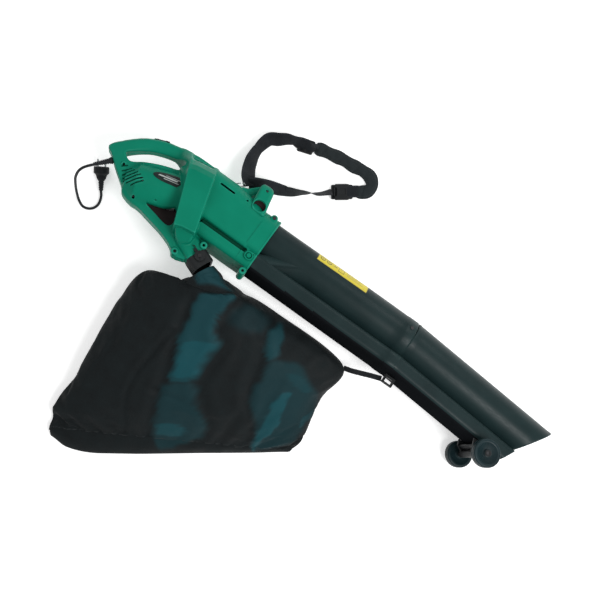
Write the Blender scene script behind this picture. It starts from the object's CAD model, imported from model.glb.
import math

import bmesh
import bpy
import numpy as np
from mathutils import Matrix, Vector


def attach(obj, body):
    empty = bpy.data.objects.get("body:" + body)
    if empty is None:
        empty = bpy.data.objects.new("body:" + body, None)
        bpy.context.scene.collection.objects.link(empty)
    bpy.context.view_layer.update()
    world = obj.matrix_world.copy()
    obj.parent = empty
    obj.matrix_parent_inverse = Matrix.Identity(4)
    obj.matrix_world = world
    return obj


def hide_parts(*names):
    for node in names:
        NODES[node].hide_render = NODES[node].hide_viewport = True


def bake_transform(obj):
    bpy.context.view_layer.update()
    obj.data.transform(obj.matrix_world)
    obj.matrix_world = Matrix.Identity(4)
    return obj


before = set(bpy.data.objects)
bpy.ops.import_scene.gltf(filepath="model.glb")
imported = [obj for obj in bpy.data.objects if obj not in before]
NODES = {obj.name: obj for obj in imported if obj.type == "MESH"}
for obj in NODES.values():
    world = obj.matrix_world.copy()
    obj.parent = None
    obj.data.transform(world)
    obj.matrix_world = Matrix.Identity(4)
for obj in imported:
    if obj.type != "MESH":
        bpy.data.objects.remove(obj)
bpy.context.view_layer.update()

MM = 0.001
ROLL = math.radians(17)                      # the machine lies on its right side, rolled
PITCH = math.radians(3)
PLACE = np.array([-199.3, 198.0, 91.0])      # machine origin in the row frame
TILT = math.radians(22)                      # motor and fan axis against the tube
FAN = np.array([-198.0, 0.0, -26.0])
OUTLET = np.array([-140.0, 0.0, -118.0])
JOINT_X = 411.0                              # where the lower tube begins
LOWER_START = np.array([JOINT_X, 0.0, 0.0])
BEND = math.radians(4.3)
TUBE_DROP = 5.0
TUBE_MIDDLE = -57.5                          # between the round tube and the duct below it
TUBE_POINTS = 160
DUCT_UNDER = -93.0                           # below this the duct is unpolished
AXLE = np.array([691.0, 0.0, -139.0])
WHEEL_GAP = 76.0                             # wheel centre to the machine's middle
WEB_WIDTH = 37.0
WALL = 3.4                                   # housing wall

CAMERA_AT = (-0.0552, 0.1262, 1.891)
CAMERA_TURN = math.radians(35.5)
LENS = 45
SENSOR = 36


# ---------- frames ----------

def lay(p):
    """Machine-frame millimetres to the row frame in metres."""
    p = np.asarray(p, float)
    y = -math.sin(ROLL) * p[..., 1] + math.cos(ROLL) * p[..., 2]
    z = -math.cos(ROLL) * p[..., 1] - math.sin(ROLL) * p[..., 2]
    x = math.cos(PITCH) * p[..., 0] + math.sin(PITCH) * z
    w = -math.sin(PITCH) * p[..., 0] + math.cos(PITCH) * z
    return (np.stack([x, y, w], -1) + PLACE) * MM


def on_floor(p):
    """Floor-frame millimetres (machine origin in plan) to the row frame in metres."""
    return (np.asarray(p, float) + PLACE * [1, 1, 0]) * MM


def turn_y(p, angle, origin):
    """Points in a frame turned about Y, to the machine frame."""
    p = np.asarray(p, float)
    c, s = math.cos(angle), math.sin(angle)
    x = c * p[..., 0] + s * p[..., 2]
    z = -s * p[..., 0] + c * p[..., 2]
    return np.stack([x, p[..., 1], z], -1) + origin


def from_fan(p):
    return turn_y(p, -TILT, FAN)


def from_outlet(p):
    return turn_y(p, TILT, OUTLET)


def from_lower(p):
    return turn_y(p, BEND, LOWER_START)


def into_y(x, z, angle, origin):
    """Machine x and z arrays to a frame turned about Y."""
    c, s = math.cos(angle), math.sin(angle)
    dx, dz = x - origin[0], z - origin[2]
    return c * dx - s * dz, s * dx + c * dz


# ---------- camera, light and floor ----------

def make_camera():
    data = bpy.data.cameras.new("camera")
    camera = bpy.data.objects.new("camera", data)
    bpy.context.scene.collection.objects.link(camera)
    data.lens = LENS
    data.sensor_width = SENSOR
    camera.location = CAMERA_AT
    camera.rotation_euler = (0, 0, CAMERA_TURN)
    bpy.context.scene.camera = camera


def make_floor():
    bpy.ops.mesh.primitive_grid_add(x_subdivisions=2, y_subdivisions=2, size=60, location=(0, 0, -0.0012))
    floor = bpy.context.object
    floor.name = "floor"
    mat = new_material("floor_white")
    shader = mat.node_tree.nodes["Principled BSDF"]
    shader.inputs["Base Color"].default_value = (0.93, 0.93, 0.93, 1)
    shader.inputs["Roughness"].default_value = 0.9
    shader.inputs["Emission Color"].default_value = (1, 1, 1, 1)
    shader.inputs["Emission Strength"].default_value = 0.44
    floor.data.materials.append(mat)


def make_lamp(name, place, target, size, power):
    data = bpy.data.lights.new(name, "AREA")
    data.shape = "DISK"
    data.size = size
    data.energy = power
    light = bpy.data.objects.new(name, data)
    bpy.context.scene.collection.objects.link(light)
    light.location = place
    aim = Vector(target) - Vector(place)
    light.rotation_euler = aim.to_track_quat("-Z", "Y").to_euler()


def make_stage():
    make_camera()
    make_floor()
    make_lamp("key", (1.3, 0.2, 2.1), (0, 0, 0.05), 1.0, 38)
    make_lamp("fill", (-1.4, 0.9, 2.4), (0, 0, 0), 2.0, 9)
    make_lamp("rim", (0.5, 1.9, 1.2), (0, 0.1, 0), 0.8, 8)
    world = bpy.data.worlds.new("world")
    world.use_nodes = True
    background = world.node_tree.nodes["Background"]
    background.inputs["Color"].default_value = (1, 1, 1, 1)
    background.inputs["Strength"].default_value = 0.46
    bpy.context.scene.world = world
    bpy.context.scene.view_settings.view_transform = "Standard"


# ---------- materials ----------

def new_material(name):
    mat = bpy.data.materials.new(name)
    mat.use_nodes = True
    return mat


class Nodes:
    """Short calls for building a material's node tree."""

    def __init__(self, name):
        self.mat = new_material(name)
        self.tree = self.mat.node_tree
        self.shader = self.tree.nodes["Principled BSDF"]
        self.coord = self.tree.nodes.new("ShaderNodeTexCoord")

    def add(self, kind, **values):
        node = self.tree.nodes.new(kind)
        for key, value in values.items():
            setattr(node, key, value)
        return node

    def link(self, a, b):
        self.tree.links.new(a, b)

    def noise(self, scale, detail=3, rough=0.55, stretch=None):
        node = self.add("ShaderNodeTexNoise")
        node.inputs["Scale"].default_value = scale
        node.inputs["Detail"].default_value = detail
        node.inputs["Roughness"].default_value = rough
        vector = self.coord.outputs["Object"]
        if stretch:
            mapping = self.add("ShaderNodeMapping")
            mapping.inputs["Scale"].default_value = stretch
            self.link(vector, mapping.inputs["Vector"])
            vector = mapping.outputs["Vector"]
        self.link(vector, node.inputs["Vector"])
        return node.outputs["Fac"]

    def voronoi(self, scale):
        node = self.add("ShaderNodeTexVoronoi")
        node.inputs["Scale"].default_value = scale
        self.link(self.coord.outputs["Object"], node.inputs["Vector"])
        return node.outputs["Distance"]

    def math(self, kind, a, b=None):
        node = self.add("ShaderNodeMath", operation=kind)
        for slot, value in zip(node.inputs, (a, b)):
            if value is None:
                continue
            if isinstance(value, (int, float)):
                slot.default_value = value
            else:
                self.link(value, slot)
        return node.outputs[0]

    def spread(self, fac, low, high, start=0.3, end=0.7):
        node = self.add("ShaderNodeMapRange")
        node.inputs["From Min"].default_value = start
        node.inputs["From Max"].default_value = end
        node.inputs["To Min"].default_value = low
        node.inputs["To Max"].default_value = high
        self.link(fac, node.inputs["Value"])
        return node.outputs["Result"]

    def mix(self, fac, a, b):
        node = self.add("ShaderNodeMix", data_type="RGBA")
        if isinstance(fac, (int, float)):
            node.inputs["Factor"].default_value = fac
        else:
            self.link(fac, node.inputs["Factor"])
        for slot, value in ((node.inputs["A"], a), (node.inputs["B"], b)):
            if isinstance(value, tuple):
                slot.default_value = (*value, 1)
            else:
                self.link(value, slot)
        return node.outputs["Result"]

    def attribute(self, name):
        return self.add("ShaderNodeAttribute", attribute_name=name)

    def bump(self, height, strength, distance, normal=None):
        node = self.add("ShaderNodeBump")
        node.inputs["Strength"].default_value = strength
        node.inputs["Distance"].default_value = distance
        self.link(height, node.inputs["Height"])
        if normal is not None:
            self.link(normal, node.inputs["Normal"])
        return node.outputs["Normal"]

    def finish(self, colour=None, rough=None, normal=None, **values):
        if colour is not None:
            self.link(colour, self.shader.inputs["Base Color"])
        if rough is not None:
            self.link(rough, self.shader.inputs["Roughness"])
        if normal is not None:
            self.link(normal, self.shader.inputs["Normal"])
        for key, value in values.items():
            self.shader.inputs[key.replace("_", " ")].default_value = value
        return self.mat


def plastic(name, base, light, rough=(0.35, 0.5), grain=1400, grain_depth=0.00006, edge=None,
            Specular_IOR_Level=0.15, **values):
    """Moulded plastic: fine grain, soft mottling, faint scuffs and lighter rubbed edges."""
    n = Nodes(name)
    mottle = n.spread(n.noise(14, 4), 0, 1)
    colour = n.mix(mottle, base, light)
    if edge:
        colour = n.mix(n.attribute("edge").outputs["Fac"], colour, edge)
    scuff = n.noise(60, 5, 0.7, stretch=(1, 5, 2))
    roughness = n.spread(scuff, rough[0], rough[1], 0.35, 0.65)
    fine, wave = n.noise(grain, 2), n.noise(9, 2)
    normal = n.bump(wave, 0.25, 0.0012, n.bump(fine, 0.5, grain_depth))
    return n.finish(colour, roughness, normal, Specular_IOR_Level=Specular_IOR_Level, **values)


def metal(name, base, light, rough=(0.22, 0.4), stretch=(1, 1, 14)):
    """Metal with a drawn or ground grain along one axis."""
    n = Nodes(name)
    colour = n.mix(n.spread(n.noise(30, 4), 0, 1), base, light)
    roughness = n.spread(n.noise(140, 3, stretch=stretch), rough[0], rough[1])
    normal = n.bump(n.noise(500, 2, stretch=stretch), 0.3, 0.00004)
    return n.finish(colour, roughness, normal, Metallic=1.0)


def weave(name, base, light, pitch):
    """Woven webbing: plain weave over the UV in metres, a selvedge line and loose fibres."""
    n = Nodes(name)
    split = n.add("ShaderNodeSeparateXYZ")
    n.link(n.coord.outputs["UV"], split.inputs["Vector"])
    turn = 2 * math.pi / pitch
    warp = n.math("SINE", n.math("MULTIPLY", split.outputs["X"], turn))
    weft = n.math("SINE", n.math("MULTIPLY", split.outputs["Y"], turn))
    cloth = n.math("ADD", n.math("MULTIPLY", warp, weft), n.math("MULTIPLY", warp, 0.6))
    fuzz = n.noise(1800, 2)
    height = n.math("ADD", cloth, fuzz)
    colour = n.mix(n.spread(cloth, 0, 1, -1.2, 1.2), base, light)
    worn = n.spread(n.noise(35, 4), 0.0, 0.35)
    colour = n.mix(worn, colour, tuple(min(1, c * 2.2) for c in light))
    stitch = n.attribute("stitch").outputs["Fac"]
    colour = n.mix(stitch, colour, tuple(min(1, c * 3.2) for c in light))
    roughness = n.spread(fuzz, 0.72, 0.88)
    normal = n.bump(height, 0.55, 0.00035)
    return n.finish(colour, roughness, normal, Sheen_Weight=0.06, Sheen_Roughness=0.5,
                    Specular_IOR_Level=0.15)


def bag_cloth():
    """Dimpled nonwoven cloth, with a teal sheen where the crest attribute says so."""
    n = Nodes("bag_nonwoven")
    lit = n.attribute("crest").outputs["Fac"]
    spots = n.voronoi(620)
    dimple = n.spread(spots, 0, 1, 0.1, 0.5)
    fibres = n.noise(900, 4, 0.7)
    mottle = n.spread(n.noise(22, 5, 0.65), 0, 1)
    colour = n.mix(mottle, (0.0048, 0.0062, 0.0068), (0.0085, 0.0118, 0.0128))
    colour = n.mix(lit, colour, (0.0065, 0.062, 0.076))
    hairs = n.math("MULTIPLY", n.spread(fibres, 0, 1, 0.45, 0.75), 0.16)
    colour = n.mix(hairs, colour, (0.04, 0.06, 0.065))
    seam = n.attribute("stitch").outputs["Fac"]
    colour = n.mix(seam, colour, (0.045, 0.05, 0.052))
    rough = n.spread(mottle, 0.62, 0.78)
    normal = n.bump(dimple, 0.3, 0.00022)
    normal = n.bump(fibres, 0.35, 0.0002, normal)
    normal = n.bump(n.noise(45, 4, 0.6), 0.35, 0.0022, normal)
    return n.finish(colour, rough, normal, Sheen_Weight=0.02, Sheen_Roughness=0.4, Specular_IOR_Level=0.12)


def pad_cloth():
    """Fine mesh cloth of the shoulder pad."""
    n = Nodes("strap_pad_cloth")
    net = n.voronoi(900)
    colour = n.mix(n.spread(net, 0, 1, 0.1, 0.5), (0.008, 0.011, 0.012), (0.016, 0.021, 0.023))
    colour = n.mix(n.attribute("stitch").outputs["Fac"], colour, (0.035, 0.04, 0.042))
    normal = n.bump(net, 0.4, 0.0003)
    normal = n.bump(n.noise(70, 4), 0.4, 0.0015, normal)
    rough = n.spread(n.noise(200), 0.7, 0.85)
    return n.finish(colour, rough, normal, Sheen_Weight=0.05, Specular_IOR_Level=0.15)


def printed_film(name):
    """Glossy film that takes its colours from the print attribute."""
    n = Nodes(name)
    paint = n.attribute("print").outputs["Color"]
    dirt = n.spread(n.noise(90, 5, 0.7), 0, 0.22, 0.5, 0.8)
    colour = n.mix(dirt, paint, (0.12, 0.11, 0.08))
    normal = n.bump(n.noise(160, 3), 0.2, 0.0004)
    return n.finish(colour, n.spread(n.noise(70), 0.3, 0.42), normal, Specular_IOR_Level=0.12)


PLASTICS = {
    "green_abs": dict(name="green_abs_moulded", base=(0.002, 0.175, 0.105), light=(0.003, 0.2, 0.122),
                      rough=(0.3, 0.42), edge=(0.04, 0.4, 0.29), Specular_IOR_Level=0.07),
    "tube_under": dict(name="tube_black_unpolished", base=(0.007, 0.008, 0.009), light=(0.009, 0.010, 0.012),
                       rough=(0.75, 0.9), Specular_IOR_Level=0.0),
    "green_shade": dict(name="green_abs_groove", base=(0.001, 0.045, 0.025), light=(0.002, 0.06, 0.034),
                        rough=(0.45, 0.6), Specular_IOR_Level=0.05),
    "green_inside": dict(name="green_abs_rib", base=(0.004, 0.16, 0.09), light=(0.005, 0.19, 0.11),
                         rough=(0.4, 0.5)),
    "tube_plastic": dict(name="tube_black_green", base=(0.008, 0.018, 0.019), light=(0.011, 0.024, 0.025),
                         rough=(0.34, 0.46), grain=1700, edge=(0.035, 0.065, 0.065), Specular_IOR_Level=0.13),
    "black_plastic": dict(name="black_nylon", base=(0.009, 0.010, 0.011), light=(0.016, 0.018, 0.019),
                          rough=(0.4, 0.55)),
    "wheel_plastic": dict(name="wheel_black", base=(0.005, 0.012, 0.014), light=(0.010, 0.025, 0.029),
                          rough=(0.3, 0.48), grain=1100),
    "carbon": dict(name="carbon_brush", base=(0.02, 0.02, 0.022), light=(0.035, 0.035, 0.038),
                   rough=(0.45, 0.6)),
    "wire_blue": dict(name="wire_insulation", base=(0.02, 0.05, 0.26), light=(0.03, 0.07, 0.34),
                      rough=(0.35, 0.45)),
    "capacitor_white": dict(name="capacitor_case", base=(0.62, 0.58, 0.4), light=(0.7, 0.66, 0.48),
                            rough=(0.4, 0.5)),
    "dark_recess": dict(name="recess_shade", base=(0.012, 0.008, 0.008), light=(0.022, 0.013, 0.012),
                        rough=(0.6, 0.75)),
    "cord_rubber": dict(name="cord_rubber", base=(0.012, 0.013, 0.015), light=(0.022, 0.024, 0.027),
                        rough=(0.45, 0.6), grain=900, grain_depth=0.0001),
}
METALS = {
    "steel": ("plated_steel", (0.5, 0.5, 0.52), (0.66, 0.66, 0.68)),
    "black_oxide": ("black_oxide_steel", (0.035, 0.035, 0.037), (0.06, 0.06, 0.062), (0.4, 0.55)),
    "zinc": ("zinc_cast", (0.42, 0.43, 0.45), (0.55, 0.56, 0.58), (0.38, 0.55), (1, 1, 1)),
    "laminations": ("lamination_stack", (0.24, 0.24, 0.26), (0.33, 0.33, 0.35), (0.4, 0.6), (9, 1, 1)),
    "copper": ("copper_winding", (0.62, 0.25, 0.1), (0.78, 0.36, 0.17), (0.25, 0.4), (1, 12, 1)),
}


def make_materials():
    m = {key: plastic(**values) for key, values in PLASTICS.items()}
    m.update({key: metal(*values) for key, values in METALS.items()})
    m["webbing"] = weave("strap_webbing", (0.004, 0.0055, 0.007), (0.012, 0.014, 0.017), 0.0022)
    m["hook_tape"] = weave("hook_tape", (0.008, 0.009, 0.010), (0.018, 0.020, 0.023), 0.0018)
    m["bag_cloth"] = bag_cloth()
    m["pad_cloth"] = pad_cloth()
    m["film_yellow"] = printed_film("label_print")
    m["badge_black"] = printed_film("badge_print")
    return m


# ---------- meshes ----------

def mesh_object(name, verts, faces, material):
    mesh = bpy.data.meshes.new(name)
    mesh.from_pydata([tuple(v) for v in verts], [], [tuple(f) for f in faces])
    mesh.validate()
    mesh.update()
    return wrap_mesh(name, mesh, material)


def fast_mesh(name, verts, quads, material):
    """A mesh of quads from arrays, smooth shaded."""
    verts = np.ascontiguousarray(verts, np.float32)
    quads = np.ascontiguousarray(quads, np.int32)
    mesh = bpy.data.meshes.new(name)
    mesh.vertices.add(len(verts))
    mesh.vertices.foreach_set("co", verts.ravel())
    mesh.loops.add(quads.size)
    mesh.loops.foreach_set("vertex_index", quads.ravel())
    mesh.polygons.add(len(quads))
    mesh.polygons.foreach_set("loop_start", np.arange(0, quads.size, 4, dtype=np.int32))
    mesh.update(calc_edges=True)
    mesh.validate()
    return wrap_mesh(name, mesh, material)


def wrap_mesh(name, mesh, material):
    """A smooth object of the mesh, with its material and the slot it stands for."""
    obj = bpy.data.objects.new(name, mesh)
    bpy.context.scene.collection.objects.link(obj)
    mesh.shade_smooth()
    mesh.materials.append(MATS[material])
    return obj


def set_attribute(obj, name, values):
    a = obj.data.attributes.new(name, "FLOAT", "POINT")
    a.data.foreach_set("value", np.asarray(values, np.float32))


def set_print(obj, colours):
    a = obj.data.color_attributes.new("print", "FLOAT_COLOR", "POINT")
    full = np.ones((len(colours), 4), np.float32)
    full[:, :3] = colours
    a.data.foreach_set("color", full.ravel())


def edge_wear(obj, gain=0.55, start=0.05, passes=2):
    """Marks convex edges, for the lighter rubbed look of moulded corners."""
    mesh = obj.data
    n = len(mesh.vertices)
    co = np.zeros(n * 3, np.float32)
    mesh.vertices.foreach_get("co", co)
    co = co.reshape(-1, 3)
    normal = np.zeros(n * 3, np.float32)
    mesh.vertex_normals.foreach_get("vector", normal)
    normal = normal.reshape(-1, 3)
    pairs = np.zeros(len(mesh.edges) * 2, np.int32)
    mesh.edges.foreach_get("vertices", pairs)
    a, b = pairs.reshape(-1, 2).T
    count = np.bincount(a, minlength=n) + np.bincount(b, minlength=n)
    count = np.maximum(count, 1)
    d = co[b] - co[a]
    length = np.linalg.norm(d, axis=1) + 1e-9
    bend = -((d * normal[a]).sum(1)) / length
    back = ((d * normal[b]).sum(1)) / length
    c = (np.bincount(a, bend, n) + np.bincount(b, back, n)) / count
    for _ in range(passes):
        c = (np.bincount(a, c[b], n) + np.bincount(b, c[a], n)) / count
    set_attribute(obj, "edge", np.clip((c - start) / 0.22, 0, 1) * gain)


# ---------- signed distances ----------

def polygon_distance(points, u, v):
    """Signed distance to a closed outline, negative inside."""
    pts = np.asarray(points, float)
    best = np.full(np.broadcast(u, v).shape, 1e9)
    inside = np.zeros(best.shape, bool)
    for a, b in zip(pts, np.roll(pts, -1, 0)):
        e = b - a
        wu, wv = u - a[0], v - a[1]
        t = np.clip((wu * e[0] + wv * e[1]) / (e @ e), 0, 1)
        best = np.minimum(best, (wu - t * e[0]) ** 2 + (wv - t * e[1]) ** 2)
        up = (a[1] <= v) & (b[1] > v)
        down = (a[1] > v) & (b[1] <= v)
        side = e[0] * wv - e[1] * wu
        inside ^= (up & (side > 0)) | (down & (side < 0))
    d = np.sqrt(best)
    return np.where(inside, -d, d)


def smooth_outline(points, rounds=2):
    """Chaikin's corner cutting of a closed outline."""
    p = np.asarray(points, float)
    for _ in range(rounds):
        q = np.roll(p, -1, 0)
        p = np.stack([0.78 * p + 0.22 * q, 0.22 * p + 0.78 * q], 1).reshape(-1, 2)
    return p


def thick(flat, across, half, r):
    """A flat distance given thickness, with edges rounded to r."""
    a, b = flat + r, across - half + r
    return np.minimum(np.maximum(a, b), 0) + np.sqrt(np.maximum(a, 0) ** 2 + np.maximum(b, 0) ** 2) - r


def round_box(u, v, half, low, high, r_top, r_low):
    """Distance to a box outline with its own corner radius above and below."""
    mid, h = (low + high) / 2, (high - low) / 2
    r = np.where(v > mid, r_top, r_low)
    a, b = np.abs(u) - half + r, np.abs(v - mid) - h + r
    return np.minimum(np.maximum(a, b), 0) + np.sqrt(np.maximum(a, 0) ** 2 + np.maximum(b, 0) ** 2) - r


def melt(a, b, k):
    """Union of two shapes with a fillet of about k."""
    h = np.clip(0.5 + 0.5 * (b - a) / k, 0, 1)
    return b + (a - b) * h - k * h * (1 - h)


def cut(a, b, k=0.0):
    """a without b."""
    return -melt(-a, b, k) if k else np.maximum(a, -b)


def add(body, part, k):
    """body joined to part with a fillet, in single precision."""
    return melt(body, part.astype(np.float32), k)


def remove(body, part, k=0.0):
    """body without part, in single precision."""
    return cut(body, part.astype(np.float32), k)


def segment_distance(u, v, a, b):
    """Distance to a straight piece of line."""
    e = np.subtract(b, a)
    wu, wv = u - a[0], v - a[1]
    t = np.clip((wu * e[0] + wv * e[1]) / (e @ e), 0, 1)
    return np.hypot(wu - t * e[0], wv - t * e[1])


def hull_distance(points, x, y, z, k=4.0):
    """Distance to the convex hull of points, with softened edges."""
    bm = bmesh.new()
    for p in points:
        bm.verts.new(p)
    bmesh.ops.convex_hull(bm, input=bm.verts)
    bm.normal_update()
    centre = np.mean(np.asarray(points, float), 0)
    planes = []
    for f in bm.faces:
        n = np.array(f.normal)
        d = n @ np.array(f.verts[0].co)
        if n @ centre > d:
            n, d = -n, -d
        if not any(abs(n @ m - 1) < 1e-4 and abs(d - e) < 0.05 for m, e in planes):
            planes.append((n, d))
    bm.free()
    best = None
    for n, d in planes:
        g = n[0] * x + n[1] * y + n[2] * z - d
        best = g if best is None else -melt(-best, -g, k)
    return best


CORNERS = [(a, b, c) for a in (0, 1) for b in (0, 1) for c in (0, 1)]


def sample(field, low, step, points):
    """Value and slope of a gridded field at points."""
    q = (points - low) / step
    i = np.clip(np.floor(q).astype(int), 0, np.array(field.shape) - 2)
    t = q - i
    c = {k: field[i[:, 0] + k[0], i[:, 1] + k[1], i[:, 2] + k[2]] for k in CORNERS}

    def mixed(w):
        return sum(c[k] * np.prod([w[j][:, k[j]] for j in range(3)], axis=0) for k in c)

    plain = [np.stack([1 - t[:, j], t[:, j]], 1) for j in range(3)]
    slope = np.tile([-1.0, 1.0], (len(q), 1))
    value = mixed(plain)
    grad = [mixed([slope if j == axis else plain[j] for j in range(3)]) / step for axis in range(3)]
    return value, np.stack(grad, 1)


def surface(field, low, step):
    """Quad mesh of a field's zero surface."""
    inside = field < 0
    n = np.array(field.shape)
    count = np.zeros(n - 1, np.int8)
    for a, b, c in CORNERS:
        count += inside[a:n[0] - 1 + a, b:n[1] - 1 + b, c:n[2] - 1 + c]
    mixed = (count > 0) & (count < 8)
    cells = np.argwhere(mixed)
    number = np.full(mixed.shape, -1, np.int32)
    number[mixed] = np.arange(len(cells))
    total = np.zeros((len(cells), 3))
    hits = np.zeros(len(cells))
    value = {k: field[tuple((cells + k).T)] for k in CORNERS}
    for k in CORNERS:
        for axis in range(3):
            if k[axis]:
                continue
            other = tuple(1 if j == axis else k[j] for j in range(3))
            fa, fb = value[k], value[other]
            crossing = (fa < 0) != (fb < 0)
            t = np.where(crossing, fa / np.where(crossing, fa - fb, 1), 0)
            p = np.tile(np.array(k, float), (len(cells), 1))
            p[:, axis] = t
            total += p * crossing[:, None]
            hits += crossing
    verts = low + step * (cells + total / hits[:, None])
    for _ in range(3):
        f, g = sample(field, low, step, verts)
        move = (f / np.maximum((g ** 2).sum(1), 0.25))[:, None] * g
        size = np.linalg.norm(move, axis=1, keepdims=True)
        verts -= move * np.minimum(1, 0.35 * step / np.maximum(size, 1e-9))
    quads = []
    for axis in range(3):
        u, v = (axis + 1) % 3, (axis + 2) % 3
        first = np.take(inside, range(n[axis] - 1), axis)
        second = np.take(inside, range(1, n[axis]), axis)
        e = np.argwhere(first != second)
        e = e[(e[:, u] > 0) & (e[:, v] > 0) & (e[:, u] < n[u] - 1) & (e[:, v] < n[v] - 1)]
        du, dv = np.zeros(3, int), np.zeros(3, int)
        du[u], dv[v] = 1, 1
        around = [number[tuple((e - s).T)] for s in (du + dv, dv, 0 * du, du)]
        q = np.stack(around, 1)
        flip = second[tuple(e.T)]
        q[flip] = q[flip][:, ::-1]
        quads.append(q)
    return verts, np.concatenate(quads)


def grid(low, high, step):
    """Open x, y and z axes of a box of points."""
    low, high = np.asarray(low, float), np.asarray(high, float)
    axes = [np.arange(a, b + step, step) for a, b in zip(low, high)]
    return axes[0][:, None, None], axes[1][None, :, None], axes[2][None, None, :]


def solid(name, field, low, step, place, material):
    """A named mesh of a field's surface, moved by place."""
    verts, quads = surface(np.ascontiguousarray(field), np.asarray(low, float), step)
    return fast_mesh(name, place(verts), quads, material)


# ---------- lofts ----------

def bridge(rings, closed_ends=True, loop=False):
    """Faces between rings of equal length, as vertex and face lists."""
    m, n = len(rings), len(rings[0])
    verts = np.concatenate(rings)
    faces = []
    last = m if loop else m - 1
    for i in range(last):
        a, b = i * n, ((i + 1) % m) * n
        for j in range(n):
            k = (j + 1) % n
            faces.append((a + j, a + k, b + k, b + j))
    if closed_ends and not loop:
        faces.append(tuple(range(n - 1, -1, -1)))
        faces.append(tuple((m - 1) * n + j for j in range(n)))
    return verts, faces


def catmull(points, per):
    """A smooth curve through points, per steps between each pair."""
    p = np.asarray(points, float)
    p = np.vstack([2 * p[0] - p[1], p, 2 * p[-1] - p[-2]])
    out = []
    for i in range(1, len(p) - 2):
        for t in np.arange(per) / per:
            a, b, c, d = p[i - 1], p[i], p[i + 1], p[i + 2]
            out.append(0.5 * (2 * b + (c - a) * t + (2 * a - 5 * b + 4 * c - d) * t * t
                              + (3 * b - a - 3 * c + d) * t ** 3))
    out.append(p[-2])
    return np.array(out)


def unit(v):
    v = np.asarray(v, float)
    return v / np.maximum(np.linalg.norm(v, axis=-1, keepdims=True), 1e-12)


def lathe(name, profile, turns, place, material, shape=None):
    """A profile of (along, radius) turned about local X; shape may move each ring's points."""
    angle = np.arange(turns) * 2 * math.pi / turns
    rings = []
    for s, r in profile:
        p = np.stack([np.full(turns, float(s)), r * np.cos(angle), r * np.sin(angle)], 1)
        rings.append(shape(p, s, r, angle) if shape else p)
    closed = profile[0] != profile[-1]
    verts, faces = bridge(rings if closed else rings[:-1], closed, not closed)
    obj = mesh_object(name, place(verts), faces, material)
    outward(obj)
    return obj


def outward(obj):
    bm = bmesh.new()
    bm.from_mesh(obj.data)
    bmesh.ops.recalc_face_normals(bm, faces=bm.faces)
    bm.to_mesh(obj.data)
    bm.free()
    obj.data.shade_smooth()


def ribbon(name, line, width, thickness, sides, material, stitch_inset=2.4, wave=0.0, seed=0.0):
    """A flat strap along a line of points, with rounded edges, a UV in metres and stitch rows."""
    line, sides = np.asarray(line, float), unit(sides)
    along = np.concatenate([[0], np.cumsum(np.linalg.norm(np.diff(line, axis=0), axis=1))])
    tangent = unit(np.gradient(line, axis=0))
    sides = unit(sides - (sides * tangent).sum(1, keepdims=True) * tangent)
    up = np.cross(tangent, sides)
    cols = 15
    u = np.linspace(-1, 1, cols)
    rim = np.sqrt(np.maximum(1 - np.abs(u) ** 8, 0))
    widths = np.broadcast_to(np.asarray(width, float), len(line))
    rings, uvs, marks = [], [], []
    for i, p in enumerate(line):
        w = widths[i] / 2
        ripple = wave * np.sin(along[i] * 0.11 + seed) * np.sin(u * 2.2 + along[i] * 0.03)
        top = [p + sides[i] * w * a + up[i] * (thickness / 2 * r + q) for a, r, q in zip(u, rim, ripple)]
        low = [p + sides[i] * w * a + up[i] * (-thickness / 2 * r + q) for a, r, q in zip(u, rim, ripple)]
        rings.append(np.array(top + low[::-1][1:-1]))
        across = np.concatenate([u, u[::-1][1:-1]]) * w
        uvs.append(np.stack([across * MM, np.full(len(across), along[i] * MM)], 1))
        near = np.abs(np.abs(across) - (w - stitch_inset)) < 0.9
        marks.append(near * (math.sin(along[i] * 1.6) > -0.2) * 0.55)
    verts, faces = bridge(rings)
    obj = mesh_object(name, on_floor(verts), faces, material)
    outward(obj)
    put_uv(obj, np.concatenate(uvs))
    set_attribute(obj, "stitch", np.concatenate(marks))
    return obj


def put_uv(obj, uv):
    layer = obj.data.uv_layers.new(name="UVMap")
    index = np.zeros(len(obj.data.loops), np.int32)
    obj.data.loops.foreach_get("vertex_index", index)
    layer.data.foreach_set("uv", np.asarray(uv, np.float32)[index].ravel())


MATS = make_materials()
make_stage()

# ---------- mains lead ----------

# The lead's route, from the sleeve to the plug.
CORD = [[-431, -94, 142], [-436, -100, 144], [-443, -108, 143], [-450, -117, 138],
        [-456, -127, 128], [-460, -137, 114], [-463, -146, 97], [-464, -154, 79], [-464, -162, 61],
        [-463, -170, 44], [-460, -178, 29], [-455, -186, 17], [-447, -193, 9], [-437, -197, 5],
        [-426, -195, 4], [-417, -189, 3.6], [-411, -180, 3.6], [-409, -169, 3.8], [-411, -158, 5],
        [-415, -148, 7], [-421, -139, 10]]
CORD_D = 6.6


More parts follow.
